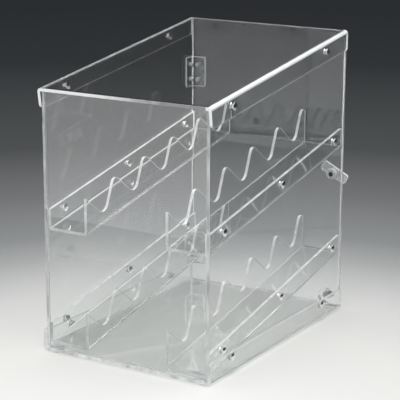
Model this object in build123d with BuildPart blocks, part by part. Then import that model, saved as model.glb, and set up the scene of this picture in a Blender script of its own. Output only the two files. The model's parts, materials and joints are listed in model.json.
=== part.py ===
from build123d import *
import math
import os

os.makedirs("parts", exist_ok=True)

# A countertop display case of clear acrylic sheet, two tiers high.
# Millimetres. +Z is up, +X is to the viewer's right, the front faces -Y.
# The origin is the centre of the overall box, on the plane that the feet rest on.

# Sheets and the overall case
PANEL = 4.0
RAIL_SHEET = 4.0
CASE_WIDTH = 250.0
CASE_DEPTH = 350.0
FOOT_HEIGHT = 2.5
COVER_OVERHANG = 4.0
DOOR_GAP = 0.4
SIDE_PLAY = 0.3
HUB_THICK = 2.2
WING_THICK = 4.5
REAR_REACH = DOOR_GAP + PANEL + SIDE_PLAY + HUB_THICK + WING_THICK
FLANGE_X = CASE_WIDTH / 2
PANEL_OUT = FLANGE_X - PANEL
PANEL_IN = PANEL_OUT - PANEL
FRONT_Y = -(CASE_DEPTH + REAR_REACH - COVER_OVERHANG) / 2
REAR_Y = FRONT_Y + CASE_DEPTH
MIDDLE_Y = (FRONT_Y + REAR_Y) / 2
TRAY_FLOOR = FOOT_HEIGHT + PANEL
BEND_INSIDE = 1.0
BEND_RELIEF = 1.1
FLANGE_CORNER = 5.0
SHEET_SETBACK = 0.5
SHEET_END_Y = REAR_Y - SHEET_SETBACK
BOLT_FROM_FRONT = 49.5
BOLT_FROM_REAR = 60.0
FLANGE_BOLT_Y = (FRONT_Y + BOLT_FROM_FRONT, REAR_Y - BOLT_FROM_REAR)

# The cover rises towards the rear
COVER_FRONT_Z = 343.0
COVER_SLOPE = 0.138
COVER_ANGLE = math.atan(COVER_SLOPE)
COVER_FLANGE = 26.0
COVER_BOLT_DROP = 14.0

# The base tray
TRAY_FLANGE = 27.5
TRAY_FLANGE_TOP = FOOT_HEIGHT + TRAY_FLANGE
TRAY_OVERHANG = 3.5
TRAY_LEAN = 3.0
TRAY_BOLT_RISE = 21.5
TRAY_BOLT_Z = FOOT_HEIGHT + TRAY_BOLT_RISE
FOOT_RADIUS = 8.0
FOOT_INSET_X = 17.0
FOOT_INSET_Y = 8.0

# The toothed rails, which climb towards the rear
RAIL_FRONT_Z = {"upper": 160.1, "lower": 10.6}
RAIL_SLOPE = 0.2
RAIL_ANGLE = math.atan(RAIL_SLOPE)
RAIL_WIDTH = 59.3
RAIL_GAP = 0.3
RAIL_END_GAP = 1.0
RAIL_FRONT_Y = FRONT_Y + PANEL + RAIL_GAP
RAIL_END_Y = REAR_Y - RAIL_END_GAP
RAIL_FLANGE = 27.5
RAIL_WALL_X = PANEL_IN - RAIL_WIDTH
RAIL_WALL = 53.0
RAIL_WALL_BEND = 3.0
RAIL_WALL_CREASE = 0.5
TOOTH_PITCH = 68.6
TOOTH_LEAD = 23.1
TOOTH_FIRST_VALLEY_Y = FRONT_Y - TOOTH_LEAD
TOOTH_COUNT = math.ceil((CASE_DEPTH + TOOTH_LEAD) / TOOTH_PITCH)
TOOTH_VALLEY_RISE = 9.0
TOOTH_STEEP = math.radians(68.0)
TOOTH_GENTLE = math.radians(37.0)
TOOTH_VALLEY_RADIUS = 12.0
TOOTH_TIP_RADIUS = 8.0
RAIL_BOLT_RISE = 17.5
RAIL_BOLT_FROM_FRONT = 35.5
RAIL_BOLT_FROM_REAR = 23.5
RAIL_BOLT_FRONT_Y = FRONT_Y + RAIL_BOLT_FROM_FRONT
RAIL_BOLT_REAR_Y = REAR_Y - RAIL_BOLT_FROM_REAR
RAIL_BOLT_Y = (RAIL_BOLT_FRONT_Y, (RAIL_BOLT_FRONT_Y + RAIL_BOLT_REAR_Y) / 2, RAIL_BOLT_REAR_Y)

# Binding screws: a domed head with a barrel, closed by a slotted screw
HEAD_RADIUS = 4.75
HEAD_RIM = 0.7
HEAD_DOME = 1.5
HEAD_SLOT = 1.2
HEAD_SLOT_DEPTH = 1.0
BARREL_RADIUS = 2.5
HOLE_CLEARANCE = 0.1
HOLE_RADIUS = BARREL_RADIUS + HOLE_CLEARANCE
BARREL_BORE = 1.6
THREAD_CLEARANCE = 0.05
SHANK_RADIUS = BARREL_BORE - THREAD_CLEARANCE
BARREL_SHORT = 0.5
BARREL_END_WALL = 1.0
SHANK_SHORT = 3.0
FLUSH_RADIUS = 4.6
FLUSH_CLEARANCE = 0.1
FLUSH_DEPTH = FLUSH_RADIUS + FLUSH_CLEARANCE - HOLE_RADIUS

# The rear door hangs behind the case
DOOR_IN_Y = REAR_Y + DOOR_GAP
DOOR_OUT_Y = DOOR_IN_Y + PANEL
DOOR_INSET = 0.5
DOOR_X = PANEL_OUT - DOOR_INSET
DOOR_CLEARANCE = 3.5
DOOR_BOTTOM = FOOT_HEIGHT + DOOR_CLEARANCE
DOOR_BELOW_TOP = 1.8
DOOR_TOP = COVER_FRONT_Z + COVER_SLOPE * CASE_DEPTH - DOOR_BELOW_TOP

# Hinges on the left rear corner
HINGE_HEIGHT = 43.0
HINGE_BELOW_TOP = 10.0
HINGE_ABOVE_TRAY = 0.5
HINGE_Z = {
    "upper": COVER_FRONT_Z - HINGE_BELOW_TOP - HINGE_HEIGHT / 2,
    "lower": TRAY_FLANGE_TOP + HINGE_ABOVE_TRAY + HINGE_HEIGHT / 2,
}
LEAF = 2.0
KNUCKLE_RADIUS = 3.0
AXIS_X = -PANEL_OUT - KNUCKLE_RADIUS
AXIS_Y = DOOR_OUT_Y + KNUCKLE_RADIUS
CASE_LEAF_REACH = 20.0
LEAF_START = 0.6
DOOR_LEAF_REACH = 22.0
DOOR_LEAF_END_X = -PANEL_OUT + DOOR_LEAF_REACH
LEAF_CORNER = 3.0
KNUCKLE_STEP = HINGE_HEIGHT / 5
KNUCKLE_GAP = 0.4
PIN_RADIUS = 1.5
PIN_RUNNING = 0.05
M3_RADIUS = 1.5
M3_HOLE = 1.6
M3_HEAD = 2.9
M3_HEAD_RIM = 0.8
M3_HEAD_DOME = 1.0
M3_DRIVE = 1.4
M3_NUT_FLATS = 5.5
M3_NUT_HEIGHT = 2.4
M3_TAIL = 0.5
HINGE_SCREW_Z = 10.5
CASE_SCREW_INSET = 3.5
CASE_SCREW_Y = REAR_Y - CASE_SCREW_INSET
DOOR_SCREW_INSET = 10.8
DOOR_SCREW_X = -PANEL_OUT + DOOR_SCREW_INSET

# The turn catch near the door's free edge
CATCH_INSET = 16.0
CATCH_X = DOOR_X - CATCH_INSET
CATCH_Z = 193.0
CATCH_TILT = 26.5
WING_LENGTH = 43.0
WING_WIDTH = 14.0
WING_CORNER = 3.5
WING_BEVEL = 0.8
HUB_RADIUS = 7.0
SPINDLE_RADIUS = 2.5
SPINDLE_RUNNING = 0.05
SPINDLE_SHORT = 1.0
BOSS_RADIUS = 7.5
BOSS_THICK = 6.0
CATCH_SCREW_HEAD = 3.2
CATCH_SCREW_RIM = 0.5
CATCH_SCREW_DOME = 1.2
CATCH_SCREW_RADIUS = 1.4
CATCH_SCREW_LENGTH = 7.0

# The magnet at the foot of the door
MAGNET_INSET = 15.7
MAGNET_RISE = 13.5
MAGNET_X = PANEL_IN - MAGNET_INSET
MAGNET_Z = TRAY_FLOOR + MAGNET_RISE
MAGNET_RADIUS = 4.5
MAGNET_THICK = 4.0
HOLDER_RADIUS = 10.5
HOLDER_DEPTH = 9.0
KEEPER_RADIUS = 5.5
KEEPER_THICK = 1.5
HOLDER_FACE_Y = DOOR_IN_Y - KEEPER_THICK - DOOR_GAP


def cover_top(y):
    return COVER_FRONT_Z + COVER_SLOPE * (y - FRONT_Y)


def cover_under(y):
    return cover_top(y) - PANEL / math.cos(COVER_ANGLE)


def rail_bottom(level, y):
    return RAIL_FRONT_Z[level] + RAIL_SLOPE * (y - FRONT_Y)


def corner(sketch, x, y):
    return sketch.vertices().sort_by_distance((x, y, 0))[0]


def side_block(points, x_middle, half_width, mode=Mode.ADD):
    # A shape drawn in side view, as thick as twice the half width across the case
    with BuildSketch(Plane.YZ.offset(x_middle)) as outline:
        Polygon(*points, align=None)
    extrude(outline.sketch, amount=half_width, both=True, mode=mode)


def drill_x(x, y, z, radius, length):
    with Locations((x, y, z)):
        Cylinder(radius, length, rotation=(0, 90, 0), mode=Mode.SUBTRACT)


def countersink_x(side, y, z):
    # A cone in the inner face of a side panel, for a screw that ends flush under the rail
    with Locations((side * (PANEL_IN + FLUSH_DEPTH / 2), y, z)):
        turn = (0, side * 90, 0)
        Cone(HOLE_RADIUS + FLUSH_DEPTH, HOLE_RADIUS, FLUSH_DEPTH, rotation=turn, mode=Mode.SUBTRACT)


def drill_y(x, y, z, radius, length):
    with Locations((x, y, z)):
        Cylinder(radius, length, rotation=(90, 0, 0), mode=Mode.SUBTRACT)


def finish(builder, name):
    builder.part.label = name
    export_step(builder.part, "parts/" + name + ".step")


def cover_bolts():
    return [(y, cover_top(y) - COVER_BOLT_DROP) for y in FLANGE_BOLT_Y]


def tray_bolts():
    return [(y, TRAY_BOLT_Z) for y in FLANGE_BOLT_Y]


def rail_bolts(level):
    return [(y, rail_bottom(level, y) + RAIL_BOLT_RISE) for y in RAIL_BOLT_Y]


# Bent sheets

def channel(plane, half_width, depth, reach):
    # A flat sheet with a flange bent along each side, run both ways from the plane
    with BuildSketch(plane) as section:
        Polygon(
            (-half_width, 0), (half_width, 0), (half_width, depth),
            (half_width - PANEL, depth), (half_width - PANEL, PANEL),
            (PANEL - half_width, PANEL), (PANEL - half_width, depth), (-half_width, depth),
            align=None,
        )
        for side in (-1, 1):
            fillet(corner(section, side * half_width, 0), BEND_INSIDE + PANEL)
            fillet(corner(section, side * (half_width - PANEL), PANEL), BEND_INSIDE)
    extrude(section.sketch, amount=reach, both=True)


def build_tray():
    with BuildPart() as tray:
        # The section is seen from the front and pushed along the case
        front_view = Plane(origin=(0, 0, FOOT_HEIGHT), x_dir=(1, 0, 0), z_dir=(0, -1, 0))
        channel(front_view, FLANGE_X, TRAY_FLANGE, CASE_DEPTH)
        front_low = FRONT_Y - TRAY_OVERHANG
        with BuildSketch(Plane.YZ) as outline:
            Polygon(
                (front_low, 0), (SHEET_END_Y, 0), (SHEET_END_Y, TRAY_FLANGE_TOP),
                (front_low + TRAY_LEAN, TRAY_FLANGE_TOP), align=None,
            )
            fillet(corner(outline, SHEET_END_Y, TRAY_FLANGE_TOP), FLANGE_CORNER)
            fillet(corner(outline, front_low + TRAY_LEAN, TRAY_FLANGE_TOP), FLANGE_CORNER)
        extrude(amount=CASE_WIDTH, both=True, mode=Mode.INTERSECT)
        for y, z in tray_bolts():
            drill_x(0, y, z, HOLE_RADIUS, CASE_WIDTH + 10)
    finish(tray, "base_tray")


def build_cover():
    along = (0, math.cos(COVER_ANGLE), math.sin(COVER_ANGLE))
    down = (0, math.sin(COVER_ANGLE), -math.cos(COVER_ANGLE))
    front = FRONT_Y - COVER_OVERHANG
    with BuildPart() as cover:
        # The section stands square to the sloping sheet, with its depth measured downwards
        section = Plane(origin=(0, MIDDLE_Y, cover_top(MIDDLE_Y)), x_dir=(1, 0, 0), z_dir=along)
        channel(section, FLANGE_X, COVER_FLANGE, CASE_DEPTH)
        lip = (front + COVER_FLANGE * down[1], cover_top(front) + COVER_FLANGE * down[2])
        back_low = cover_top(SHEET_END_Y) - COVER_FLANGE / math.cos(COVER_ANGLE)
        with BuildSketch(Plane.YZ) as outline:
            Polygon(
                (front - 2 * down[1], cover_top(front) - 2 * down[2]), lip, (SHEET_END_Y, back_low),
                (SHEET_END_Y, cover_top(SHEET_END_Y) + 2), align=None,
            )
            fillet(corner(outline, *lip), FLANGE_CORNER)
            fillet(corner(outline, SHEET_END_Y, back_low), FLANGE_CORNER)
        extrude(amount=CASE_WIDTH, both=True, mode=Mode.INTERSECT)
        for y, z in cover_bolts():
            drill_x(0, y, z, HOLE_RADIUS, CASE_WIDTH + 10)
    finish(cover, "top_cover")


# Flat sheets

def build_side_panel(side, name):
    middle = side * (PANEL_OUT - PANEL / 2)
    with BuildPart() as panel:
        side_block(
            [(FRONT_Y, TRAY_FLOOR), (REAR_Y, TRAY_FLOOR), (REAR_Y, cover_under(REAR_Y)),
             (FRONT_Y, cover_under(FRONT_Y))],
            middle, PANEL / 2,
        )
        # The outer edges are eased where the flanges bend round them
        outer = panel.faces().sort_by(Axis.X)[-1 if side > 0 else 0]
        long_edges = outer.edges().sort_by(Axis.Z)
        chamfer([long_edges[0], long_edges[-1]], BEND_RELIEF)
        for y, z in cover_bolts() + tray_bolts() + rail_bolts("upper") + rail_bolts("lower"):
            drill_x(middle, y, z, HOLE_RADIUS, 3 * PANEL)
        for y, z in tray_bolts():
            countersink_x(side, y, z)
        if side < 0:
            for z in hinge_screw_heights():
                drill_x(middle, CASE_SCREW_Y, z, M3_HOLE, 3 * PANEL)
    finish(panel, name)


def hinge_screw_heights():
    return [HINGE_Z[level] + step for level in HINGE_Z for step in (-HINGE_SCREW_Z, HINGE_SCREW_Z)]


def build_front_panel():
    with BuildPart() as panel:
        side_block(
            [(FRONT_Y, TRAY_FLOOR), (FRONT_Y + PANEL, TRAY_FLOOR),
             (FRONT_Y + PANEL, cover_under(FRONT_Y + PANEL)), (FRONT_Y, cover_under(FRONT_Y))],
            0, PANEL_IN,
        )
    finish(panel, "front_panel")


def build_door():
    with BuildPart() as door:
        side_block(
            [(DOOR_IN_Y, DOOR_BOTTOM), (DOOR_OUT_Y, DOOR_BOTTOM),
             (DOOR_OUT_Y, DOOR_TOP), (DOOR_IN_Y, DOOR_TOP)],
            0, DOOR_X,
        )
        middle = (DOOR_IN_Y + DOOR_OUT_Y) / 2
        drill_y(CATCH_X, middle, CATCH_Z, SPINDLE_RADIUS + SPINDLE_RUNNING, 3 * PANEL)
        for z in hinge_screw_heights():
            drill_y(DOOR_SCREW_X, middle, z, M3_HOLE, 3 * PANEL)
    finish(door, "rear_door")


# Toothed rails

def tooth_line(level):
    # Sharp corners of the saw teeth in side view, valley and tip in turn, from front to rear
    rise = RAIL_SLOPE * TOOTH_PITCH
    climb = math.tan(TOOTH_STEEP)
    fall = math.tan(TOOTH_GENTLE)
    steep_run = (rise + TOOTH_PITCH * fall) / (climb + fall)
    valleys = []
    tips = []
    for number in range(TOOTH_COUNT):
        y = TOOTH_FIRST_VALLEY_Y + number * TOOTH_PITCH
        z = rail_bottom(level, y) + TOOTH_VALLEY_RISE
        valleys.append((y, z))
        tips.append((y + steep_run, z + steep_run * climb))
    return valleys, tips


def build_rail(side, level, name):
    along = (0, math.cos(RAIL_ANGLE), math.sin(RAIL_ANGLE))
    wall_in = RAIL_WALL_X + RAIL_SHEET
    flange_in = PANEL_IN - RAIL_SHEET
    wall_depth = RAIL_WALL * math.cos(RAIL_ANGLE)
    flange_depth = RAIL_FLANGE * math.cos(RAIL_ANGLE)
    with BuildPart() as rail:
        # One sheet bent twice: a flange on the side panel, a sloping floor and a tall inner wall
        middle = (0, MIDDLE_Y, rail_bottom(level, MIDDLE_Y))
        section_plane = Plane(origin=middle, x_dir=(side, 0, 0), z_dir=[-side * a for a in along])
        with BuildSketch(section_plane) as section:
            Polygon(
                (RAIL_WALL_X, 0), (PANEL_IN, 0), (PANEL_IN, flange_depth), (flange_in, flange_depth),
                (flange_in, RAIL_SHEET), (wall_in, RAIL_SHEET), (wall_in, wall_depth),
                (RAIL_WALL_X, wall_depth), align=None,
            )
            fillet(corner(section, PANEL_IN, 0), BEND_INSIDE + RAIL_SHEET)
            fillet(corner(section, flange_in, RAIL_SHEET), BEND_INSIDE)
            fillet(corner(section, RAIL_WALL_X, 0), RAIL_WALL_BEND)
            fillet(corner(section, wall_in, RAIL_SHEET), RAIL_WALL_CREASE)
        extrude(amount=CASE_DEPTH, both=True)
        side_block(
            [(RAIL_FRONT_Y, -CASE_DEPTH), (RAIL_END_Y, -CASE_DEPTH), (RAIL_END_Y, 2 * CASE_DEPTH),
             (RAIL_FRONT_Y, 2 * CASE_DEPTH)],
            0, CASE_WIDTH, Mode.INTERSECT,
        )
        # Saw teeth are cut out of the tall wall, with round valleys and round tips
        valleys, tips = tooth_line(level)
        line = [point for pair in zip(valleys, tips) for point in pair]
        last = (tips[-1][0] + TOOTH_PITCH / 2, tips[-1][1] - TOOTH_PITCH / 2 * math.tan(TOOTH_GENTLE))
        ceiling = tips[-1][1] + TOOTH_PITCH
        wall_middle = side * (RAIL_WALL_X + RAIL_SHEET / 2)
        with BuildSketch(Plane.YZ.offset(wall_middle)) as gap:
            Polygon(*line, last, (last[0], ceiling), (line[0][0], ceiling), align=None)
            for y, z in valleys[1:]:
                fillet(corner(gap, y, z), TOOTH_VALLEY_RADIUS)
            for y, z in tips:
                fillet(corner(gap, y, z), TOOTH_TIP_RADIUS)
        extrude(amount=RAIL_SHEET, both=True, mode=Mode.SUBTRACT)
        for y, z in rail_bolts(level):
            drill_x(side * (PANEL_IN - RAIL_SHEET / 2), y, z, HOLE_RADIUS, 3 * RAIL_SHEET)
    finish(rail, name)


# Fasteners

def dome(radius, rim, rise):
    # The curved side of a low head, from its rim to its crown, along the axis and across it
    sphere = (radius * radius + rise * rise) / (2 * rise)
    halfway = rim + rise - sphere + math.sqrt(sphere * sphere - radius * radius / 4)
    ThreePointArc((rim, radius), (halfway, radius / 2), (rim + rise, 0))


def turned(seat, outward):
    # A drawing plane through the axis: its x runs outward from the seat
    return Plane(origin=seat, x_dir=outward, z_dir=(0, 0, 1))


def barrel_nut(seat, outward, length):
    with BuildSketch(turned(seat, outward)) as profile:
        with BuildLine():
            dome(HEAD_RADIUS, HEAD_RIM, HEAD_DOME)
            Polyline(
                (HEAD_RIM, HEAD_RADIUS), (0, HEAD_RADIUS), (0, BARREL_RADIUS), (-length, BARREL_RADIUS),
                (-length, BARREL_BORE), (-BARREL_END_WALL, BARREL_BORE), (-BARREL_END_WALL, 0),
                (HEAD_RIM + HEAD_DOME, 0),
            )
        make_face()
    revolve(profile.sketch, axis=Axis(seat, outward))


def binding_screw(seat, outward, stack):
    with BuildSketch(turned(seat, outward)) as profile:
        with BuildLine():
            dome(HEAD_RADIUS, HEAD_RIM, HEAD_DOME)
            Polyline(
                (HEAD_RIM, HEAD_RADIUS), (0, HEAD_RADIUS), (0, SHANK_RADIUS),
                (SHANK_SHORT - stack, SHANK_RADIUS), (SHANK_SHORT - stack, 0), (HEAD_RIM + HEAD_DOME, 0),
            )
        make_face()
    revolve(profile.sketch, axis=Axis(seat, outward))
    slot = seat[0] + outward[0] * (HEAD_RIM + HEAD_DOME)
    with Locations((slot, seat[1], seat[2])):
        Box(2 * HEAD_SLOT_DEPTH, 3 * HEAD_RADIUS, HEAD_SLOT, mode=Mode.SUBTRACT)


def flush_screw(seat, outward, stack):
    # Its cone fills the countersink and its face is level with the panel
    with BuildSketch(turned(seat, outward)) as profile:
        with BuildLine():
            Polyline(
                (0, 0), (0, FLUSH_RADIUS), (-FLUSH_DEPTH, FLUSH_RADIUS - FLUSH_DEPTH),
                (-FLUSH_DEPTH, SHANK_RADIUS),
                (SHANK_SHORT - stack, SHANK_RADIUS), (SHANK_SHORT - stack, 0), (0, 0),
            )
        make_face()
    revolve(profile.sketch, axis=Axis(seat, outward))
    with Locations(seat):
        Box(2 * HEAD_SLOT_DEPTH, HEAD_SLOT, HEAD_RADIUS, mode=Mode.SUBTRACT)


def build_tray_fasteners():
    # The rails pass over the inner ends of these, so the screws are sunk into the side panels
    stack = FLANGE_X - PANEL_IN
    with BuildPart() as nuts:
        for side in (-1, 1):
            for y, z in tray_bolts():
                barrel_nut((side * FLANGE_X, y, z), (side, 0, 0), stack - FLUSH_DEPTH - BARREL_SHORT)
    finish(nuts, "tray_barrel_nuts")
    with BuildPart() as screws:
        for side in (-1, 1):
            for y, z in tray_bolts():
                flush_screw((side * PANEL_IN, y, z), (-side, 0, 0), stack)
    finish(screws, "tray_screws")


def build_binding_pair(places, outer_x, inner_x, sides, nut_name, screw_name):
    stack = outer_x - inner_x
    with BuildPart() as nuts:
        for side in sides:
            for y, z in places:
                barrel_nut((side * outer_x, y, z), (side, 0, 0), stack - BARREL_SHORT)
    finish(nuts, nut_name)
    with BuildPart() as screws:
        for side in sides:
            for y, z in places:
                binding_screw((side * inner_x, y, z), (-side, 0, 0), stack)
    finish(screws, screw_name)


def m3_screw(seat, outward, length):
    with BuildSketch(turned(seat, outward)) as profile:
        with BuildLine():
            dome(M3_HEAD, M3_HEAD_RIM, M3_HEAD_DOME)
            Polyline(
                (M3_HEAD_RIM, M3_HEAD), (0, M3_HEAD), (0, M3_RADIUS - THREAD_CLEARANCE),
                (-length, M3_RADIUS - THREAD_CLEARANCE), (-length, 0), (M3_HEAD_RIM + M3_HEAD_DOME, 0),
            )
        make_face()
    revolve(profile.sketch, axis=Axis(seat, outward))
    tip = [seat[i] + outward[i] * (M3_HEAD_RIM + M3_HEAD_DOME) for i in range(3)]
    with Locations(tuple(tip)):
        Box(M3_DRIVE, M3_DRIVE, M3_DRIVE, mode=Mode.SUBTRACT)


def m3_nut(seat, outward):
    with BuildSketch(Plane(origin=seat, z_dir=outward)) as profile:
        RegularPolygon(M3_NUT_FLATS / 2, 6, major_radius=False)
        Circle(M3_RADIUS, mode=Mode.SUBTRACT)
    extrude(profile.sketch, amount=M3_NUT_HEIGHT)


def build_hinge_fasteners():
    grip = LEAF + PANEL
    with BuildPart() as case_screws:
        for z in hinge_screw_heights():
            m3_screw((-PANEL_OUT - LEAF, CASE_SCREW_Y, z), (-1, 0, 0), grip + M3_NUT_HEIGHT + M3_TAIL)
    finish(case_screws, "hinge_case_screws")
    with BuildPart() as case_nuts:
        for z in hinge_screw_heights():
            m3_nut((-PANEL_IN, CASE_SCREW_Y, z), (1, 0, 0))
    finish(case_nuts, "hinge_case_nuts")
    with BuildPart() as door_screws:
        for z in hinge_screw_heights():
            m3_screw((DOOR_SCREW_X, DOOR_OUT_Y + LEAF, z), (0, 1, 0), grip + M3_NUT_HEIGHT + M3_TAIL)
    finish(door_screws, "hinge_door_screws")
    with BuildPart() as door_nuts:
        for z in hinge_screw_heights():
            m3_nut((DOOR_SCREW_X, DOOR_IN_Y, z), (0, -1, 0))
    finish(door_nuts, "hinge_door_nuts")


# Hinges

def knuckle(z, height):
    # A round knuckle on the hinge axis
    with Locations((AXIS_X, AXIS_Y, z)):
        Cylinder(KNUCKLE_RADIUS, height)


def build_hinge(level):
    middle = HINGE_Z[level]
    knuckle_height = KNUCKLE_STEP - KNUCKLE_GAP
    leaf_x = -PANEL_OUT - LEAF / 2
    leaf_front = DOOR_OUT_Y - CASE_LEAF_REACH
    leaf_back = DOOR_OUT_Y - KNUCKLE_GAP
    with BuildPart() as case_leaf:
        with BuildSketch(Plane.YZ.offset(leaf_x)) as plate:
            with Locations(((leaf_front + leaf_back) / 2, middle)):
                Rectangle(leaf_back - leaf_front, HINGE_HEIGHT)
            for z in (-1, 1):
                fillet(corner(plate, leaf_front, middle + z * HINGE_HEIGHT / 2), LEAF_CORNER)
        extrude(amount=LEAF / 2, both=True)
        for step in (-2, 0, 2):
            z = middle + step * KNUCKLE_STEP
            with Locations((leaf_x, (leaf_back + AXIS_Y) / 2, z)):
                Box(LEAF, AXIS_Y - leaf_back, knuckle_height)
            knuckle(z, knuckle_height)
        with Locations((AXIS_X, AXIS_Y, middle)):
            Cylinder(PIN_RADIUS, 2 * HINGE_HEIGHT, mode=Mode.SUBTRACT)
        for z in (-HINGE_SCREW_Z, HINGE_SCREW_Z):
            drill_x(leaf_x, CASE_SCREW_Y, middle + z, M3_HOLE, 3 * LEAF)
    finish(case_leaf, level + "_hinge_case_leaf")

    plate_start = -PANEL_OUT + LEAF_START
    plate_y = DOOR_OUT_Y + LEAF / 2
    with BuildPart() as door_leaf:
        with BuildSketch(Plane.XZ.offset(-plate_y)) as plate:
            with Locations(((plate_start + DOOR_LEAF_END_X) / 2, middle)):
                Rectangle(DOOR_LEAF_END_X - plate_start, HINGE_HEIGHT)
            for z in (-1, 1):
                fillet(corner(plate, DOOR_LEAF_END_X, middle + z * HINGE_HEIGHT / 2), LEAF_CORNER)
        extrude(amount=LEAF / 2, both=True)
        for step in (-1, 1):
            z = middle + step * KNUCKLE_STEP
            with Locations(((AXIS_X + plate_start) / 2, plate_y, z)):
                Box(plate_start - AXIS_X, LEAF, knuckle_height)
            knuckle(z, knuckle_height)
        with Locations((AXIS_X, AXIS_Y, middle)):
            Cylinder(PIN_RADIUS + PIN_RUNNING, 2 * HINGE_HEIGHT, mode=Mode.SUBTRACT)
        for z in (-HINGE_SCREW_Z, HINGE_SCREW_Z):
            drill_y(DOOR_SCREW_X, plate_y, middle + z, M3_HOLE, 3 * LEAF)
    finish(door_leaf, level + "_hinge_door_leaf")

    with BuildPart() as pin:
        with Locations((AXIS_X, AXIS_Y, middle)):
            Cylinder(PIN_RADIUS, HINGE_HEIGHT)
    finish(pin, level + "_hinge_pin")


# The turn catch: wing outside, spindle through the door, boss inside

def build_catch():
    hub_y = DOOR_OUT_Y + SIDE_PLAY
    wing_y = hub_y + HUB_THICK
    boss_y = DOOR_IN_Y - SIDE_PLAY
    boss_end = boss_y - BOSS_THICK
    spindle_y = boss_end + SPINDLE_SHORT
    with BuildPart() as wing:
        # Drawn looking at the door from the front, so the right end hangs low
        lean = math.radians(CATCH_TILT)
        tilted = Plane(
            origin=(CATCH_X, wing_y, CATCH_Z), x_dir=(math.cos(lean), 0, -math.sin(lean)), z_dir=(0, 1, 0)
        )
        with BuildSketch(tilted):
            RectangleRounded(WING_LENGTH, WING_WIDTH, WING_CORNER)
        extrude(amount=WING_THICK)
        chamfer(wing.faces().sort_by(Axis.Y)[-1].edges(), WING_BEVEL)
        with BuildSketch(Plane(origin=(CATCH_X, hub_y, CATCH_Z), z_dir=(0, 1, 0))):
            Circle(HUB_RADIUS)
        extrude(amount=HUB_THICK)
        with BuildSketch(Plane(origin=(CATCH_X, spindle_y, CATCH_Z), z_dir=(0, 1, 0))):
            Circle(SPINDLE_RADIUS)
        extrude(amount=hub_y - spindle_y)
        drill_y(CATCH_X, spindle_y, CATCH_Z, CATCH_SCREW_RADIUS + THREAD_CLEARANCE, 2 * CATCH_SCREW_LENGTH)
    finish(wing, "catch_wing")
    with BuildPart() as boss:
        with BuildSketch(Plane(origin=(CATCH_X, boss_y, CATCH_Z), z_dir=(0, -1, 0))):
            Circle(BOSS_RADIUS)
            Circle(SPINDLE_RADIUS, mode=Mode.SUBTRACT)
        extrude(amount=BOSS_THICK)
        chamfer(boss.faces().sort_by(Axis.Y)[0].edges().sort_by(SortBy.LENGTH)[-1], WING_BEVEL)
    finish(boss, "catch_boss")
    with BuildPart() as screw:
        seat = (CATCH_X, boss_end, CATCH_Z)
        with BuildSketch(turned(seat, (0, -1, 0))):
            with BuildLine():
                dome(CATCH_SCREW_HEAD, CATCH_SCREW_RIM, CATCH_SCREW_DOME)
                Polyline(
                    (CATCH_SCREW_RIM, CATCH_SCREW_HEAD), (0, CATCH_SCREW_HEAD), (0, CATCH_SCREW_RADIUS),
                    (-CATCH_SCREW_LENGTH, CATCH_SCREW_RADIUS), (-CATCH_SCREW_LENGTH, 0),
                    (CATCH_SCREW_RIM + CATCH_SCREW_DOME, 0),
                )
            make_face()
        revolve(axis=Axis(seat, (0, -1, 0)))
    finish(screw, "catch_screw")


# The magnet that holds the door shut

def build_magnet():
    back = HOLDER_FACE_Y - HOLDER_DEPTH
    with BuildPart() as holder:
        face = Plane(origin=(MAGNET_X, HOLDER_FACE_Y, MAGNET_Z), x_dir=(1, 0, 0), z_dir=(0, -1, 0))
        with BuildSketch(face):
            Circle(HOLDER_RADIUS)
            with Locations(((PANEL_IN - MAGNET_X) / 2, (TRAY_FLOOR - MAGNET_Z) / 2)):
                Rectangle(PANEL_IN - MAGNET_X, MAGNET_Z - TRAY_FLOOR)
        extrude(amount=HOLDER_DEPTH)
        drill_y(MAGNET_X, HOLDER_FACE_Y, MAGNET_Z, MAGNET_RADIUS, 2 * MAGNET_THICK)
    finish(holder, "magnet_holder")
    with BuildPart() as magnet:
        with BuildSketch(Plane(origin=(MAGNET_X, HOLDER_FACE_Y, MAGNET_Z), z_dir=(0, -1, 0))):
            Circle(MAGNET_RADIUS)
        extrude(amount=MAGNET_THICK)
    finish(magnet, "magnet")
    with BuildPart() as keeper:
        with BuildSketch(Plane(origin=(MAGNET_X, DOOR_IN_Y, MAGNET_Z), z_dir=(0, -1, 0))):
            Circle(KEEPER_RADIUS)
        extrude(amount=KEEPER_THICK)
    finish(keeper, "door_keeper")


def build_feet():
    with BuildPart() as feet:
        for x in (FOOT_INSET_X - FLANGE_X, FLANGE_X - FOOT_INSET_X):
            for y in (FRONT_Y + FOOT_INSET_Y, REAR_Y - FOOT_INSET_Y):
                with Locations((x, y, FOOT_HEIGHT / 2)):
                    Cylinder(FOOT_RADIUS, FOOT_HEIGHT)
    finish(feet, "feet")


build_tray()
build_cover()
build_side_panel(-1, "left_side_panel")
build_side_panel(1, "right_side_panel")
build_front_panel()
build_door()
for tier in ("upper", "lower"):
    build_rail(-1, tier, tier + "_left_rail")
    build_rail(1, tier, tier + "_right_rail")
    rail_inside = PANEL_IN - RAIL_SHEET
    for hand, word in ((-1, "_left_rail"), (1, "_right_rail")):
        rail_name = tier + word
        build_binding_pair(
            rail_bolts(tier), PANEL_OUT, rail_inside, (hand,), rail_name + "_barrel_nuts", rail_name + "_screws"
        )
    build_hinge(tier)
build_binding_pair(cover_bolts(), FLANGE_X, PANEL_IN, (-1, 1), "cover_barrel_nuts", "cover_screws")
build_tray_fasteners()
build_hinge_fasteners()
build_catch()
build_magnet()
build_feet()
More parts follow.
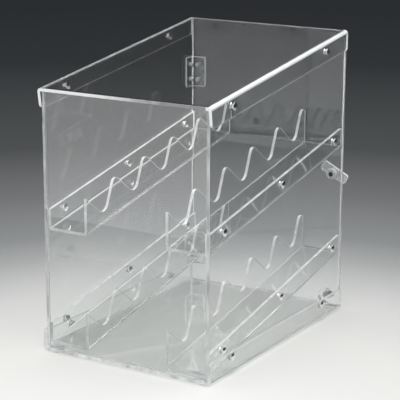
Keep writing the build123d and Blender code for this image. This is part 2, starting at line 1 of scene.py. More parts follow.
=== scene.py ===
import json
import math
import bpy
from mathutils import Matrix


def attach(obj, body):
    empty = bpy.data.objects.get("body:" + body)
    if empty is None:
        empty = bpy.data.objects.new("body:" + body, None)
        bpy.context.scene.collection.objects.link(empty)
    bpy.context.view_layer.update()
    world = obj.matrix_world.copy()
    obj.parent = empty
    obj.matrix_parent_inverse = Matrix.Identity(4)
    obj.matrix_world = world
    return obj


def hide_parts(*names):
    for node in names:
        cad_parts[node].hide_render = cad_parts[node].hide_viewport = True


bl_info = {
    "name": "Countertop display case",
    "version": (1, 0, 0),
    "blender": (4, 5, 0),
    "location": "View3D > Sidebar > Display case",
    "description": "Dresses a two-tier countertop case of clear acrylic sheet and sets up its studio",
    "category": "Object",
}

import bmesh
import bpy
from bpy.props import FloatProperty, FloatVectorProperty, PointerProperty
from mathutils import Matrix, Vector

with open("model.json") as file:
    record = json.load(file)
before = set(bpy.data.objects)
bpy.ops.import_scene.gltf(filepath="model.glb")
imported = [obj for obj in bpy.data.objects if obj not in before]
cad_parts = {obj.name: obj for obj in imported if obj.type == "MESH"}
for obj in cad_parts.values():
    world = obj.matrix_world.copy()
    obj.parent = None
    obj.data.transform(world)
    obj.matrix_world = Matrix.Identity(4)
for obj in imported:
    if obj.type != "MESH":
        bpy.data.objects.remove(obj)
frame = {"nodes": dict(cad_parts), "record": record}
MM = 0.001

# Sheets that touch keep a hair of air between them, as real ones do
AIR_GAP = 0.1 * MM
# Corners turned by more than this are edges, and gentler ones belong to a bend
SHARP = math.radians(35)
# Points nearer than this are one point, and faces within this angle are one flat face
SAME_POINT = 0.001 * MM
FLAT_WITHIN = math.radians(0.6)
# Points nearer than this to a cutting plane lie on it
ON_PLANE = 0.0001 * MM
# Steps across an eased corner, and how much a large face counts for when the normals are smoothed
EASE_STEPS = 3
LARGE_FACES = 90

# How strongly cast sheet, moulded plastic, the soft pads and the cemented magnet holder bend light
SHEET_IOR = 1.49
MOULDED_IOR = 1.45
PAD_IOR = 1.4
CEMENTED_IOR = 1.12

# How squarely a face looks along a direction, from 0 for side on to 1 for straight
FLAT = 0.98
BROAD = 0.97
SQUARE_CUT = 0.95
END_ON = 0.9
JOINED = 0.7
CUT = 0.35
EASED = 0.2
LEANING = 0.05

# Places in a piece's list of finishes, the last for a finish that only one sheet has
FACE = 0
EDGE = 1
CORNER = 2
BEND = 2
POLISHED = 3
OWN = 4

# How far below its tip a flange still counts as cut edge, and how far below it the bend begins
TIP_DEPTH = 0.7 * MM
BEND_FROM_TIP = 5 * MM
# How far above a rail's floor its cut edges begin
EDGE_ABOVE_FLOOR = 8 * MM

# The photograph's view: its place in metres, its directions, and its focal length
# in pixels of a frame 400 pixels wide
FRAME_PIXELS = 400
SENSOR_WIDTH = 36
VIEW_FROM = (0.99962, -1.64287, 0.66548)
VIEW_FORWARD = (-0.50432, 0.8278, -0.2458)
VIEW_UP = (-0.13058, 0.20827, 0.96931)
VIEW_FOCAL = 1510.3

# The pool of light on the counter: its centre, how much its front is drawn out, how soon
# and how much it widens there, how far out to the sides that fades, and its last distance
POOL_CENTRE = (0.11, -0.199)
POOL_FRONT = 0.3
POOL_OPENS = 0.4
POOL_WIDENS = 0.7
POOL_SIDES = (0.5, 2.2)
POOL_REACH = 3.8
# The counter's tones by their distance from the centre of the pool, in metres
POOL_TONES = (
    (0.0, (235, 235, 232)),
    (0.27, (222, 221, 218)),
    (0.42, (201, 201, 199)),
    (0.6, (156, 157, 157)),
    (0.72, (129, 131, 131)),
    (1.0, (103, 104, 105)),
    (1.4, (70, 72, 73)),
    (2.5, (44, 46, 48)),
    (3.7, (38, 40, 42)),
)
COUNTER_RADIUS = 6.0

# How clear the front edge of the cover is at its two ends, where along it that changes,
# and where the change stops before the bend on the right: painted light, whiter on the left and clearer to
# the right
PAINTED_EDGE_CLEAR = (0.08, 0.74)
PAINTED_EDGE_SPAN = (0.0, 0.09)
PAINTED_EDGE_STOP = 0.117

# Corners of the two panels of light that gloss mirrors, in metres
OVERHEAD = ((-0.7, -0.8, 1.3), (0.72, -0.8, 1.3), (0.72, 1.35, 1.3), (-0.7, 1.35, 1.3))
IN_FRONT = ((-0.1, -0.72, 0), (-0.1, -0.72, 0.6), (-0.9, -0.72, 0.6), (-0.9, -0.72, 0))

# The way that the key light shines, and how broad it looks
KEY_WAY = (-0.2, 0.3, -1.0)
KEY_BREADTH = math.radians(40)
# The colour of the soft light, and the dark that gloss and clear sheets show
SOFT_COLOUR = (0.97, 0.985, 1.0, 1)
BACKDROP_COLOUR = (0.04, 0.042, 0.044, 1)
# How often light may turn in all, pass into a sheet, be mirrored, and go straight through
MOST_TURNS = 32
MOST_SHEETS = 32
MOST_MIRRORS = 12
MOST_CLEAR = 48

# Flat sheets: the direction across each one, and the ways in which its edges meet another sheet
FLAT_SHEETS = {
    "left_side_panel": ((1, 0, 0), ""),
    "right_side_panel": ((1, 0, 0), ""),
    "front_panel": ((0, 1, 0), "xz"),
    "rear_door": ((0, 1, 0), ""),
}
BENT_SHEETS = ("base_tray", "top_cover")
COVER_SLOPE = math.atan(0.138)
RAIL_SLOPE = math.atan(0.2)
RAILS = ("upper_left_rail", "upper_right_rail", "lower_left_rail", "lower_right_rail")
# Leaves of the clear hinges: the direction that the broad faces look in, and the way to the free end
HINGE_LEAVES = {
    "upper_hinge_case_leaf": ((1, 0, 0), (0, -1, 0)),
    "lower_hinge_case_leaf": ((1, 0, 0), (0, -1, 0)),
    "upper_hinge_door_leaf": ((0, 1, 0), (1, 0, 0)),
    "lower_hinge_door_leaf": ((0, 1, 0), (1, 0, 0)),
}
BRIGHT = ("cover_barrel_nuts", "cover_screws", "tray_barrel_nuts", "tray_screws") + tuple(
    rail + part for rail in RAILS for part in ("_barrel_nuts", "_screws")
)
STEEL = (
    "upper_hinge_pin", "lower_hinge_pin", "hinge_case_screws", "hinge_case_nuts", "hinge_door_screws",
    "hinge_door_nuts", "door_keeper",
)


class SheetLook(bpy.types.PropertyGroup):
    tint: FloatVectorProperty(
        name="Tint", description="Colour of light through the sheet",
        subtype="COLOR", size=3, min=0, max=1, default=(0.985, 0.992, 0.99),
    )
    edge: FloatVectorProperty(
        name="Edge", description="Colour of the cut edges",
        subtype="COLOR", size=3, min=0, max=1, default=(0.975, 0.985, 0.98),
    )
    arris: FloatProperty(
        name="Arris", description="Width of the eased corner along a cut edge",
        subtype="DISTANCE", unit="LENGTH", min=0, default=0.45 * MM,
    )
    wave: FloatProperty(
        name="Wave", description="Height of the slow waves in the polished face",
        subtype="DISTANCE", unit="LENGTH", min=0, default=0.12 * MM,
    )


class MouldingLook(bpy.types.PropertyGroup):
    plastic: FloatVectorProperty(
        name="Plastic", description="Colour of the clear mouldings",
        subtype="COLOR", size=3, min=0, max=1, default=(0.97, 0.975, 0.975),
    )
    round_over: FloatProperty(
        name="Round-over", description="Radius along the corners of a moulding",
        subtype="DISTANCE", unit="LENGTH", min=0, default=0.3 * MM,
    )
    # Painted highlight: a white border round each hinge leaf, for the light that its rim gathers
    painted_rim: FloatProperty(
        name="Painted rim", description="Width of the bright border round a hinge leaf",
        subtype="DISTANCE", unit="LENGTH", min=0, default=1.3 * MM,
    )


class MetalLook(bpy.types.PropertyGroup):
    plate: FloatVectorProperty(
        name="Plate", description="Colour of the polished binding screws",
        subtype="COLOR", size=3, min=0, max=1, default=(0.86, 0.86, 0.85),
    )
    steel: FloatVectorProperty(
        name="Steel", description="Colour of the hinge screws and pins",
        subtype="COLOR", size=3, min=0, max=1, default=(0.62, 0.63, 0.64),
    )
    black: FloatVectorProperty(
        name="Black", description="Colour of the dark screw in the catch",
        subtype="COLOR", size=3, min=0, max=1, default=(0.02, 0.02, 0.022),
    )
    magnet: FloatVectorProperty(
        name="Magnet", description="Colour of the magnet",
        subtype="COLOR", size=3, min=0, max=1, default=(0.4, 0.405, 0.41),
    )


class StudioLook(bpy.types.PropertyGroup):
    key: FloatProperty(name="Key", description="Strength of the key light", min=0, default=1.9)
    fill: FloatProperty(name="Fill", description="Strength of the world", min=0, default=0.7)
    overhead: FloatProperty(
        name="Overhead", description="Brightness of the panel above, which gloss mirrors",
        min=0, default=6.0,
    )
    front: FloatProperty(
        name="Front", description="Brightness of the panel in front, which the front and the door mirror",
        min=0, default=1.75,
    )


def principled(material):
    return next(n for n in material.node_tree.nodes if n.type == "BSDF_PRINCIPLED")


def new_material(name, colour, **sockets):
    material = bpy.data.materials.new(name)
    material.use_nodes = True
    shader = principled(material)
    shader.inputs["Base Color"].default_value = (*colour, 1)
    for socket, value in sockets.items():
        shader.inputs[socket.replace("_", " ")].default_value = value
    return material


def grain(material, scale, detail=2.0, stretch=(1, 1, 1)):
    """Noise over the piece's own coordinates, with scale in patches to the metre."""
    nodes, links = material.node_tree.nodes, material.node_tree.links
    coordinates = nodes.new("ShaderNodeTexCoord")
    mapping = nodes.new("ShaderNodeMapping")
    mapping.inputs["Scale"].default_value = stretch
    noise = nodes.new("ShaderNodeTexNoise")
    noise.inputs["Scale"].default_value = scale
    noise.inputs["Detail"].default_value = detail
    links.new(coordinates.outputs["Object"], mapping.inputs["Vector"])
    links.new(mapping.outputs["Vector"], noise.inputs["Vector"])
    return noise.outputs["Fac"]


def vary(material, source, socket, low, high, start=0.3, end=0.7):
    """Drives a socket of the shader between two values."""
    nodes, links = material.node_tree.nodes, material.node_tree.links
    spread = nodes.new("ShaderNodeMapRange")
    spread.inputs["From Min"].default_value = start
    spread.inputs["From Max"].default_value = end
    spread.inputs["To Min"].default_value = low
    spread.inputs["To Max"].default_value = high
    links.new(source, spread.inputs["Value"])
    links.new(spread.outputs["Result"], principled(material).inputs[socket])


def shade_of(material, source, low, high, start=0.3, end=0.7):
    """Runs the base colour between two colours."""
    nodes, links = material.node_tree.nodes, material.node_tree.links
    ramp = nodes.new("ShaderNodeValToRGB")
    ramp.color_ramp.elements[0].position = start
    ramp.color_ramp.elements[0].color = (*low, 1)
    ramp.color_ramp.elements[1].position = end
    ramp.color_ramp.elements[1].color = (*high, 1)
    links.new(source, ramp.inputs["Fac"])
    links.new(ramp.outputs["Color"], principled(material).inputs["Base Color"])


def raise_by(material, source, height, strength=1.0):
    nodes, links = material.node_tree.nodes, material.node_tree.links
    bump = nodes.new("ShaderNodeBump")
    bump.inputs["Distance"].default_value = height
    bump.inputs["Strength"].default_value = strength
    links.new(source, bump.inputs["Height"])
    links.new(bump.outputs["Normal"], principled(material).inputs["Normal"])


def maths(nodes, links, kind, first, second):
    """One step of arithmetic on plain numbers or on the outputs of other nodes."""
    step = nodes.new("ShaderNodeMath")
    step.operation = kind
    for socket, value in zip(step.inputs, (first, second)):
        if isinstance(value, (int, float)):
            socket.default_value = value
        else:
            links.new(value, socket)
    return step.outputs[0]


def slide(nodes, links, value, start, end, low, high):
    """Runs smoothly from one number to another while a value goes from start to end."""
    step = nodes.new("ShaderNodeMapRange")
    step.interpolation_type = "SMOOTHSTEP"
    for socket, number in zip(("From Min", "From Max", "To Min", "To Max"), (start, end, low, high)):
        step.inputs[socket].default_value = number
    links.new(value, step.inputs["Value"])
    return step.outputs["Result"]


def lit_through(material, colour):
    """Lets light pass for shadow rays, as clear acrylic does."""
    nodes, links = material.node_tree.nodes, material.node_tree.links
    out = next(n for n in nodes if n.type == "OUTPUT_MATERIAL")
    surface = out.inputs["Surface"].links[0].from_socket
    path = nodes.new("ShaderNodeLightPath")
    clear = nodes.new("ShaderNodeBsdfTransparent")
    clear.inputs["Color"].default_value = (*colour, 1)
    mix = nodes.new("ShaderNodeMixShader")
    links.new(path.outputs["Is Shadow Ray"], mix.inputs["Fac"])
    links.new(surface, mix.inputs[1])
    links.new(clear.outputs[0], mix.inputs[2])
    links.new(mix.outputs[0], out.inputs["Surface"])


def sheet_face():
    """Polished acrylic: slow waves from casting, and a few faint smears from handling."""
    material = bpy.data.materials.get("sheet_face")
    if material is None:
        look = bpy.context.scene.sheet_look
        material = new_material("sheet_face", look.tint, IOR=SHEET_IOR, Transmission_Weight=1.0)
        raise_by(material, grain(material, 9, 1.0), look.wave)
        vary(material, grain(material, 14, 5.0, (1, 1, 0.5)), "Roughness", 0.0, 0.006, 0.62, 0.8)
        lit_through(material, (0.995, 1.0, 1.0))
    return material


def worn_face():
    """The floor of the tray, with the faint haze and hairlines that wiping leaves."""
    look = bpy.context.scene.sheet_look
    material = new_material("worn_face", look.edge, IOR=SHEET_IOR)
    vary(material, grain(material, 18, 5.0), "Transmission Weight", 0.93, 0.88)
    vary(material, grain(material, 120, 4.0, (1, 0.2, 1)), "Roughness", 0.01, 0.05)
    raise_by(material, grain(material, 9, 1.0), look.wave)
    lit_through(material, (0.99, 1.0, 1.0))
    return material


def sheet_edge():
    """The cut edge: bright and half clear, with the fine lines that polishing leaves."""
    material = bpy.data.materials.get("sheet_edge")
    if material is None:
        look = bpy.context.scene.sheet_look
        material = new_material("sheet_edge", look.edge, IOR=SHEET_IOR)
        vary(material, grain(material, 45, 4.0), "Transmission Weight", 0.08, 0.5, 0.35, 0.75)
        shade_of(material, grain(material, 60, 3.0), [0.94 * c for c in look.edge], look.edge)
        vary(material, grain(material, 160, 3.0), "Roughness", 0.1, 0.3)
        raise_by(material, grain(material, 1500, 2.0, (1, 1, 0.15)), 0.02 * MM, 0.5)
        lit_through(material, (0.8, 0.81, 0.81))
    return material


def cover_edge_painted_light():
    """The front edge of the cover, whiter on the left and clearer towards the right: painted light along
    the edge, set by position.
    """
    look = bpy.context.scene.sheet_look
    material = new_material("cover_edge_painted_light", look.edge, IOR=SHEET_IOR)
    nodes, links = material.node_tree.nodes, material.node_tree.links
    split = nodes.new("ShaderNodeSeparateXYZ")
    links.new(nodes.new("ShaderNodeTexCoord").outputs["Object"], split.inputs[0])
    uneven = maths(nodes, links, "MULTIPLY", grain(material, 60, 4.0), 0.08)
    along = maths(nodes, links, "ADD", split.outputs["X"], uneven)
    # The bend on the right is painted white, as the left end is
    flat = maths(nodes, links, "LESS_THAN", split.outputs["X"], PAINTED_EDGE_STOP)
    along = maths(nodes, links, "MULTIPLY", along, flat)
    vary(material, along, "Transmission Weight", *PAINTED_EDGE_CLEAR, *PAINTED_EDGE_SPAN)
    vary(material, grain(material, 160, 3.0), "Roughness", 0.1, 0.25)
    raise_by(material, grain(material, 1500, 2.0, (1, 1, 0.15)), 0.02 * MM, 0.5)
    lit_through(material, (0.82, 0.83, 0.83))
    return material


def polished_edge():
    """A flame-polished edge: clearer than a sawn one, with a few white streaks left in it."""
    material = bpy.data.materials.get("polished_edge")
    if material is None:
        look = bpy.context.scene.sheet_look
        material = new_material("polished_edge", look.edge, IOR=SHEET_IOR)
        vary(material, grain(material, 90, 4.0, (1, 1, 0.3)), "Transmission Weight", 0.75, 0.35)
        vary(material, grain(material, 160, 3.0), "Roughness", 0.04, 0.16)
        raise_by(material, grain(material, 700, 2.0, (1, 1, 0.15)), 0.02 * MM, 0.5)
        lit_through(material, (0.88, 0.89, 0.89))
    return material


def sheet_bend():
    """A heated bend, made half white: a painted highlight that shows as a light band along its length."""
    material = bpy.data.materials.get("sheet_bend")
    if material is None:
        look = bpy.context.scene.sheet_look
        material = new_material("sheet_bend", look.edge, IOR=SHEET_IOR, Transmission_Weight=0.55)
        vary(material, grain(material, 40, 3.0), "Roughness", 0.12, 0.24)
        raise_by(material, grain(material, 12, 1.0), look.wave)
        lit_through(material, (0.93, 0.94, 0.94))
    return material


def moulded_clear():
    """Clear moulded plastic, a little softer in its gloss than the sheet."""
    material = bpy.data.materials.get("moulded_clear")
    if material is None:
        look = bpy.context.scene.moulding_look
        material = new_material("moulded_clear", look.plastic, IOR=MOULDED_IOR, Transmission_Weight=1.0)
        vary(material, grain(material, 220, 3.0), "Roughness", 0.02, 0.12)
        raise_by(material, grain(material, 180, 2.0), 0.05 * MM, 0.6)
        lit_through(material, (0.9, 0.91, 0.91))
    return material


def bonded_clear():
    """The cemented-on holder: hardly seen, because the cement fills the gap behind it."""
    look = bpy.context.scene.moulding_look
    material = new_material("bonded_clear", look.plastic, IOR=CEMENTED_IOR, Transmission_Weight=1.0)
    vary(material, grain(material, 220, 3.0), "Roughness", 0.02, 0.1)
    raise_by(material, grain(material, 180, 2.0), 0.05 * MM, 0.6)
    lit_through(material, (0.95, 0.96, 0.96))
    return material


def moulded_thick():
    """Solid clear plastic, cloudy with the light it holds."""
    material = bpy.data.materials.get("moulded_thick")
    if material is None:
        look = bpy.context.scene.moulding_look
        material = new_material("moulded_thick", look.plastic, IOR=MOULDED_IOR)
        vary(material, grain(material, 260, 3.0, (1, 1, 0.4)), "Transmission Weight", 0.35, 0.85)
        vary(material, grain(material, 220, 3.0), "Roughness", 0.03, 0.14)
        raise_by(material, grain(material, 150, 2.0), 0.2 * MM, 0.8)
        lit_through(material, (0.85, 0.86, 0.86))
    return material


def moulded_rim():
    """The thin sides of a moulding and the border round a hinge leaf, nearly opaque white: a painted
    highlight for the light they gather, as the cut edges do.
    """
    material = bpy.data.materials.get("moulded_rim")
    if material is None:
        look = bpy.context.scene.moulding_look
        material = new_material("moulded_rim", look.plastic, IOR=MOULDED_IOR, Transmission_Weight=0.05)
        shade_of(material, grain(material, 400, 2.0), [0.9 * c for c in look.plastic], look.plastic)
        vary(material, grain(material, 260, 3.0), "Roughness", 0.12, 0.3)
        lit_through(material, (0.8, 0.81, 0.81))
    return material


def foot_pad():
    """Clear soft pads with a matt skin."""
    look = bpy.context.scene.moulding_look
    material = new_material("foot_pad", look.plastic, IOR=PAD_IOR, Transmission_Weight=0.8)
    vary(material, grain(material, 500, 3.0), "Roughness", 0.35, 0.55)
    raise_by(material, grain(material, 900, 2.0), 0.03 * MM, 0.5)
    lit_through(material, (0.75, 0.76, 0.76))
    return material


def metal(name, colour, smooth, rough, wear):
    """Metal with hairline scratches and a finish that varies from patch to patch."""
    material = new_material(name, colour, Metallic=1.0)
    shade_of(material, grain(material, 350, 4.0), [wear * c for c in colour], colour)
    vary(material, grain(material, 700, 4.0, (1, 0.2, 1)), "Roughness", smooth, rough)
    raise_by(material, grain(material, 2500, 2.0, (1, 0.1, 1)), 0.01 * MM, 0.3)
    return material


def copy_of(node):
    """A merged copy of a CAD node's mesh with its flat faces made whole, as a bmesh."""
    source = frame["nodes"][node]
    shape = bmesh.new()
    shape.from_mesh(source.data)
    shape.transform(source.matrix_world)
    bmesh.ops.remove_doubles(shape, verts=shape.verts, dist=SAME_POINT)
    bmesh.ops.dissolve_limit(
        shape, angle_limit=FLAT_WITHIN, verts=shape.verts, edges=shape.edges, delimit={"NORMAL"},
    )
    shape.normal_update()
    return shape


def draw_in(shape, gap):
    """Takes half of the air gap between touching sheets off every face."""
    for vert in shape.verts:
        vert.co -= vert.normal * vert.calc_shell_factor() * gap / 2


def body_of(node):
    bodies = frame["record"]["behaviour"]["bodies"]
    return next(name for name, held in bodies.items() if node in held)


def place(shape, name, node, *materials):
    """Makes the finished piece, smooth round its bends and flat elsewhere, in place of the CAD node."""
    for face in shape.faces:
        face.smooth = True
    for edge in shape.edges:
        edge.smooth = len(edge.link_faces) == 2 and edge.calc_face_angle(0) <= SHARP
    mesh = bpy.data.meshes.new(name)
    shape.to_mesh(mesh)
    shape.free()
    piece = bpy.data.objects.new(name, mesh)
    bpy.context.scene.collection.objects.link(piece)
    for material in materials:
        mesh.materials.append(material)
    normals = piece.modifiers.new("normals", "WEIGHTED_NORMAL")
    normals.keep_sharp = True
    normals.weight = LARGE_FACES
    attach(piece, body_of(node))
    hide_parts(node)
    return piece


def ease_edges(shape, width):
    """Takes the sharpness off the corners of a cut sheet."""
    sharp = [e for e in shape.edges if len(e.link_faces) == 2 and e.calc_face_angle(0) > SHARP]
    bmesh.ops.bevel(
        shape, geom=sharp, offset=width, offset_type="OFFSET", segments=EASE_STEPS, profile=0.5,
        affect="EDGES", clamp_overlap=True, material=-1,
    )
    shape.normal_update()


def cut_painted_rims(shape, ways, width):
    """Marks off a border along the outer sides of a flat moulding for a painted highlight, and says where
    each border starts.
    """
    painted_rims = []
    for way in (Vector(way) for way in ways):
        reach = max(way.dot(v.co) for v in shape.verts) - width
        everything = shape.verts[:] + shape.edges[:] + shape.faces[:]
        bmesh.ops.bisect_plane(shape, geom=everything, dist=ON_PLANE, plane_co=way * reach, plane_no=way)
        painted_rims.append((way, reach))
    shape.normal_update()
    return painted_rims


def dressed_copy(node, width):
    """A copy of the CAD node, drawn in by the air gap, with its corners eased."""
    shape = copy_of(node)
    draw_in(shape, AIR_GAP)
    ease_edges(shape, width)
    return shape


class CASE_OT_flat_sheets(bpy.types.Operator):
    """Side panels, front panel and door, with bright cut edges where nothing is cemented to them"""
    bl_idname = "case.flat_sheets"
    bl_label = "Flat sheets"

    def execute(self, context):
        for node, (across, cemented) in FLAT_SHEETS.items():
            shape = dressed_copy(node, context.scene.sheet_look.arris)
            across = Vector(across)
            for face in shape.faces:
                squarely = abs(face.normal.dot(across))
                flat = squarely > FLAT
                joined = any(abs(face.normal["xyz".index(axis)]) > JOINED for axis in cemented)
                corner = squarely > EASED
                face.material_index = FACE if flat or joined else CORNER if corner else EDGE
            place(shape, node + "_sheet", node, sheet_face(), polished_edge(), sheet_edge())
        return {"FINISHED"}


class CASE_OT_bent_sheets(bpy.types.Operator):
    """Base tray and top cover, each one sheet with two bent flanges"""
    bl_idname = "case.bent_sheets"
    bl_label = "Bent sheets"

    def execute(self, context):
        for node in BENT_SHEETS:
            shape = dressed_copy(node, context.scene.sheet_look.arris)
            tray = node == "base_tray"
            slope = 0.0 if tray else COVER_SLOPE
            along = Vector((0, math.cos(slope), math.sin(slope)))
            to_tip = Vector((0, -math.sin(slope), math.cos(slope))) * (1 if tray else -1)
            tip = max(to_tip.dot(v.co) for v in shape.verts)
            for face in shape.faces:
                from_tip = tip - to_tip.dot(face.calc_center_median())
                at_tip = from_tip < TIP_DEPTH
                cut = abs(face.normal.dot(along)) > CUT
                square = abs(face.normal.dot(along)) > SQUARE_CUT
                bent = LEANING < abs(face.normal.x) < FLAT and from_tip > BEND_FROM_TIP
                wiped = tray and abs(face.normal.z) > FLAT and not at_tip
                if cut:
                    face.material_index = POLISHED if tray else OWN if square else EDGE
                elif bent:
                    face.material_index = BEND
                elif at_tip:
                    face.material_index = BEND if tray else POLISHED
                else:
                    face.material_index = OWN if wiped else FACE
            finishes = [sheet_face(), sheet_edge(), sheet_bend(), polished_edge()]
            # The cover's front edge carries painted light, whiter on its left and clearer to its right
            finishes.append(worn_face() if tray else cover_edge_painted_light())
            place(shape, node + "_sheet", node, *finishes)
        return {"FINISHED"}


class CASE_OT_rails(bpy.types.Operator):
    """The four bent rails with their saw teeth"""
    bl_idname = "case.rails"
    bl_label = "Toothed rails"

    def execute(self, context):
        up = Vector((0, -math.sin(RAIL_SLOPE), math.cos(RAIL_SLOPE)))
        for node in RAILS:
            shape = dressed_copy(node, context.scene.sheet_look.arris)
            floor = min(up.dot(v.co) for v in shape.verts)
            for face in shape.faces:
                rise = up.dot(face.calc_center_median()) - floor
                cut_end = abs(face.normal.y) > END_ON
                cut_top = abs(face.normal.x) < END_ON and rise > EDGE_ABOVE_FLOOR
                bent = LEANING < abs(face.normal.x) < FLAT and not cut_end
                face.material_index = EDGE if cut_end or cut_top else BEND if bent else FACE
            place(shape, node + "_sheet", node, sheet_face(), sheet_edge(), sheet_bend())
        return {"FINISHED"}


class CASE_OT_mouldings(bpy.types.Operator):
    """Clear plastic hinges, catch, magnet holder and feet"""
    bl_idname = "case.mouldings"
    bl_label = "Clear mouldings"

    def execute(self, context):
        look = context.scene.moulding_look
        for node, (across, free_end) in HINGE_LEAVES.items():
            shape = dressed_copy(node, look.round_over)
            painted_rims = cut_painted_rims(shape, (free_end, (0, 0, 1), (0, 0, -1)), look.painted_rim)
            # Broad faces inside the border stay clear; the border and the thin sides take the painted
            # highlight
            for face in shape.faces:
                broad = abs(face.normal.dot(Vector(across))) > BROAD
                on_painted_rim = any(way.dot(face.calc_center_median()) > reach for way, reach in painted_rims)
                face.material_index = FACE if broad and not on_painted_rim else EDGE
            place(shape, node + "_moulded", node, moulded_clear(), moulded_rim())
        # The wing of the catch has eased corners of its own, and play all round it
        catch = {
            "catch_wing": copy_of("catch_wing"),
            "catch_boss": dressed_copy("catch_boss", look.round_over),
        }
        for node, shape in catch.items():
            # The sides of the catch take the same painted highlight as the hinge rims
            for face in shape.faces:
                face.material_index = FACE if abs(face.normal.y) > END_ON else EDGE
            place(shape, node + "_moulded", node, moulded_thick(), moulded_rim())
        shape = dressed_copy("magnet_holder", look.round_over)
        place(shape, "magnet_holder_moulded", "magnet_holder", bonded_clear())
        shape = dressed_copy("feet", look.round_over)
        place(shape, "feet_moulded", "feet", foot_pad())
        return {"FINISHED"}


class CASE_OT_metal(bpy.types.Operator):
    """Binding screws, hinge screws, pins, magnet and keeper"""
    bl_idname = "case.metal"
    bl_label = "Metal parts"

    def execute(self, context):
        look = context.scene.metal_look
        plate = metal("polished_plate", look.plate, 0.05, 0.14, 0.93)
        steel = metal("zinc_steel", look.steel, 0.22, 0.4, 0.8)
        black = metal("black_oxide", look.black, 0.3, 0.5, 0.6)
        grey = metal("plated_magnet", look.magnet, 0.3, 0.45, 0.8)
        finishes = ((BRIGHT, plate), (STEEL, steel), (("catch_screw",), black), (("magnet",), grey))
        for names, material in finishes:
            for node in names:
                slots = frame["nodes"][node].data.materials
                slots.clear()
                slots.append(material)
        return {"FINISHED"}


def pool_distance(nodes, links):
    """How far a place on the counter lies from the centre of the pool of light, by the pool's own shape."""
    coordinates = nodes.new("ShaderNodeTexCoord")
    split = nodes.new("ShaderNodeSeparateXYZ")
    links.new(coordinates.outputs["Object"], split.inputs[0])
    across = maths(nodes, links, "SUBTRACT", split.outputs["X"], POOL_CENTRE[0])
    behind = maths(nodes, links, "SUBTRACT", split.outputs["Y"], POOL_CENTRE[1])
    # The pool widens towards the front, where the counter stays bright, but not far out to the sides
    ahead = slide(nodes, links, behind, 0, -POOL_OPENS, 0, POOL_WIDENS)
    beside = slide(nodes, links, maths(nodes, links, "ABSOLUTE", across, 0), *POOL_SIDES, 1, 0)
    ahead = maths(nodes, links, "MULTIPLY", ahead, beside)
    narrowed = maths(nodes, links, "SUBTRACT", 1, ahead)
    across = maths(nodes, links, "MULTIPLY", across, narrowed)
    # It is drawn out to the front as well
    drawn_out = maths(nodes, links, "MULTIPLY", behind, POOL_FRONT)
    behind = maths(nodes, links, "MAXIMUM", behind, drawn_out)
    across = maths(nodes, links, "MULTIPLY", across, across)
    behind = maths(nodes, links, "MULTIPLY", behind, behind)
    return maths(nodes, links, "SQRT", maths(nodes, links, "ADD", across, behind), 0)


def as_light(tone):
    """The light of one tone out of 255, without the screen's curve."""
    return ((tone / 255 + 0.055) / 1.055) ** 2.4


def counter_material():
    """A pale counter that falls off to dark grey with distance from the case."""
    material = new_material("counter", (0.9, 0.9, 0.89), Roughness=1.0, Specular_IOR_Level=0.0)
    nodes, links = material.node_tree.nodes, material.node_tree.links
    distance = pool_distance(nodes, links)
    ramp = nodes.new("ShaderNodeValToRGB")
    elements = ramp.color_ramp.elements
    while len(elements) > 1:
        elements.remove(elements[0])
    for number, (reach, tones) in enumerate(POOL_TONES):
        element = elements[0] if number == 0 else elements.new(reach / POOL_REACH)
        element.position = reach / POOL_REACH
        element.color = tuple(as_light(tone) for tone in tones) + (1,)
    links.new(maths(nodes, links, "DIVIDE", distance, POOL_REACH), ramp.inputs["Fac"])
    links.new(ramp.outputs["Color"], principled(material).inputs["Base Color"])
    raise_by(material, grain(material, 700, 3.0), 0.02 * MM, 0.3)
    return material


def panel_glow(name, strength, mirrored_only):
    """Light for a panel that scattered rays miss."""
    material = bpy.data.materials.new(name)
    material.use_nodes = True
    material.cycles.emission_sampling = "NONE"
    nodes, links = material.node_tree.nodes, material.node_tree.links
    out = next(n for n in nodes if n.type == "OUTPUT_MATERIAL")
    glow = nodes.new("ShaderNodeEmission")
    glow.inputs["Strength"].default_value = strength
    path = nodes.new("ShaderNodeLightPath")
    # The lamps light the counter, so the panel is missing from light that a matt surface has scattered
    scattered = maths(nodes, links, "MINIMUM", path.outputs["Diffuse Depth"], 1)
    shown = maths(nodes, links, "SUBTRACT", 1, scattered)
    if mirrored_only:
        # It is seen after a reflection, and not straight through the sheets
        mirrored = maths(nodes, links, "MINIMUM", path.outputs["Glossy Depth"], 1)
        shown = maths(nodes, links, "MULTIPLY", shown, mirrored)
    clear = nodes.new("ShaderNodeBsdfTransparent")
    mix = nodes.new("ShaderNodeMixShader")
    links.new(shown, mix.inputs["Fac"])
    links.new(clear.outputs[0], mix.inputs[1])
    links.new(glow.outputs[0], mix.inputs[2])
    links.new(mix.outputs[0], out.inputs["Surface"])
    return material


def light_panel(name, corners, strength, mirrored_only):
    """A bright sheet of diffuser that only gloss and glass show."""
    shape = bmesh.new()
    shape.faces.new([shape.verts.new(corner) for corner in corners])
    mesh = bpy.data.meshes.new(name)
    shape.to_mesh(mesh)
    shape.free()
    mesh.materials.append(panel_glow(name, strength, mirrored_only))
    panel = bpy.data.objects.new(name, mesh)
    for kind in ("camera", "diffuse", "shadow", "volume_scatter"):
        setattr(panel, "visible_" + kind, False)
    bpy.context.scene.collection.objects.link(panel)


def counter_top():
    counter = bmesh.new()
    bmesh.ops.create_circle(counter, cap_ends=True, segments=96, radius=COUNTER_RADIUS)
    mesh = bpy.data.meshes.new("counter")
    counter.to_mesh(mesh)
    counter.free()
    mesh.materials.append(counter_material())
    floor = bpy.data.objects.new("counter", mesh)
    bpy.context.scene.collection.objects.link(floor)


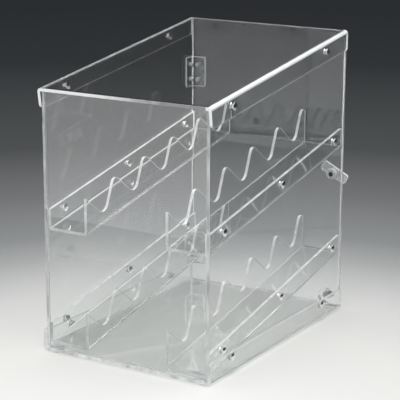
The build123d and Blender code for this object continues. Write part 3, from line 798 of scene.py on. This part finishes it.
def studio_world(fill):
    """Soft light from all round on matt surfaces, and a dark backdrop for gloss and clear sheets."""
    world = bpy.data.worlds.new("studio")
    world.use_nodes = True
    # The light is only found by scattered rays, so it also reaches what stands behind a sheet
    world.cycles.sampling_method = "NONE"
    nodes, links = world.node_tree.nodes, world.node_tree.links
    soft = next(n for n in nodes if n.type == "BACKGROUND")
    soft.inputs["Color"].default_value = SOFT_COLOUR
    soft.inputs["Strength"].default_value = fill
    backdrop = nodes.new("ShaderNodeBackground")
    backdrop.inputs["Color"].default_value = BACKDROP_COLOUR
    backdrop.inputs["Strength"].default_value = 1.0
    path = nodes.new("ShaderNodeLightPath")
    scattered = maths(nodes, links, "MINIMUM", path.outputs["Diffuse Depth"], 1)
    mix = nodes.new("ShaderNodeMixShader")
    out = next(n for n in nodes if n.type == "OUTPUT_WORLD")
    links.new(scattered, mix.inputs["Fac"])
    links.new(backdrop.outputs[0], mix.inputs[1])
    links.new(soft.outputs[0], mix.inputs[2])
    links.new(mix.outputs[0], out.inputs["Surface"])
    bpy.context.scene.world = world


def key_light(strength):
    """A large soft lamp above the case, a little in front of it and to its right."""
    lamp = bpy.data.lights.new("key", "SUN")
    lamp.energy = strength
    lamp.angle = KEY_BREADTH
    key = bpy.data.objects.new("key", lamp)
    key.rotation_euler = Vector(KEY_WAY).to_track_quat("-Z", "Y").to_euler()
    # The sheets already let this light through for shadow rays, so it isn't counted twice
    key.visible_transmission = False
    key.visible_glossy = False
    bpy.context.scene.collection.objects.link(key)


def photograph_view():
    camera = bpy.data.cameras.new("camera")
    camera.sensor_width = SENSOR_WIDTH
    camera.sensor_fit = "HORIZONTAL"
    camera.lens = SENSOR_WIDTH * VIEW_FOCAL / FRAME_PIXELS
    camera.clip_end = 50
    view = bpy.data.objects.new("camera", camera)
    forward = Vector(VIEW_FORWARD).normalized()
    right = forward.cross(Vector(VIEW_UP)).normalized()
    turn = Matrix((right, right.cross(forward), -forward)).transposed()
    view.matrix_world = Matrix.Translation(Vector(VIEW_FROM)) @ turn.to_4x4()
    bpy.context.scene.collection.objects.link(view)
    bpy.context.scene.camera = view


class CASE_OT_stage(bpy.types.Operator):
    """Counter, backdrop, lights and camera"""
    bl_idname = "case.stage"
    bl_label = "Stage"

    def execute(self, context):
        scene = context.scene
        look = scene.studio_look
        counter_top()
        studio_world(look.fill)
        key_light(look.key)
        light_panel("overhead_panel", OVERHEAD, look.overhead, False)
        light_panel("front_panel_light", IN_FRONT, look.front, True)
        photograph_view()
        scene.view_settings.view_transform = "Standard"
        scene.cycles.max_bounces = MOST_TURNS
        scene.cycles.transmission_bounces = MOST_SHEETS
        scene.cycles.glossy_bounces = MOST_MIRRORS
        scene.cycles.transparent_max_bounces = MOST_CLEAR
        return {"FINISHED"}


class CASE_PT_panel(bpy.types.Panel):
    bl_idname = "CASE_PT_panel"
    bl_label = "Display case"
    bl_space_type = "VIEW_3D"
    bl_region_type = "UI"
    bl_category = "Display case"

    def draw(self, context):
        layout = self.layout
        scene = context.scene
        for owner in (scene.sheet_look, scene.moulding_look, scene.metal_look, scene.studio_look):
            for name in owner.__annotations__:
                layout.prop(owner, name)
        for step in STEPS:
            layout.operator(step.bl_idname)


STEPS = (
    CASE_OT_flat_sheets,
    CASE_OT_bent_sheets,
    CASE_OT_rails,
    CASE_OT_mouldings,
    CASE_OT_metal,
    CASE_OT_stage,
)
CLASSES = (SheetLook, MouldingLook, MetalLook, StudioLook) + STEPS + (CASE_PT_panel,)


def register():
    for cls in CLASSES:
        bpy.utils.register_class(cls)
    bpy.types.Scene.sheet_look = PointerProperty(type=SheetLook)
    bpy.types.Scene.moulding_look = PointerProperty(type=MouldingLook)
    bpy.types.Scene.metal_look = PointerProperty(type=MetalLook)
    bpy.types.Scene.studio_look = PointerProperty(type=StudioLook)


def unregister():
    del bpy.types.Scene.studio_look
    del bpy.types.Scene.metal_look
    del bpy.types.Scene.moulding_look
    del bpy.types.Scene.sheet_look
    for cls in reversed(CLASSES):
        bpy.utils.unregister_class(cls)


def main():
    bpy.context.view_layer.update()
    register()
    bpy.ops.case.flat_sheets()
    bpy.ops.case.bent_sheets()
    bpy.ops.case.rails()
    bpy.ops.case.mouldings()
    bpy.ops.case.metal()
    bpy.ops.case.stage()


if __name__ == "__main__":
    main()
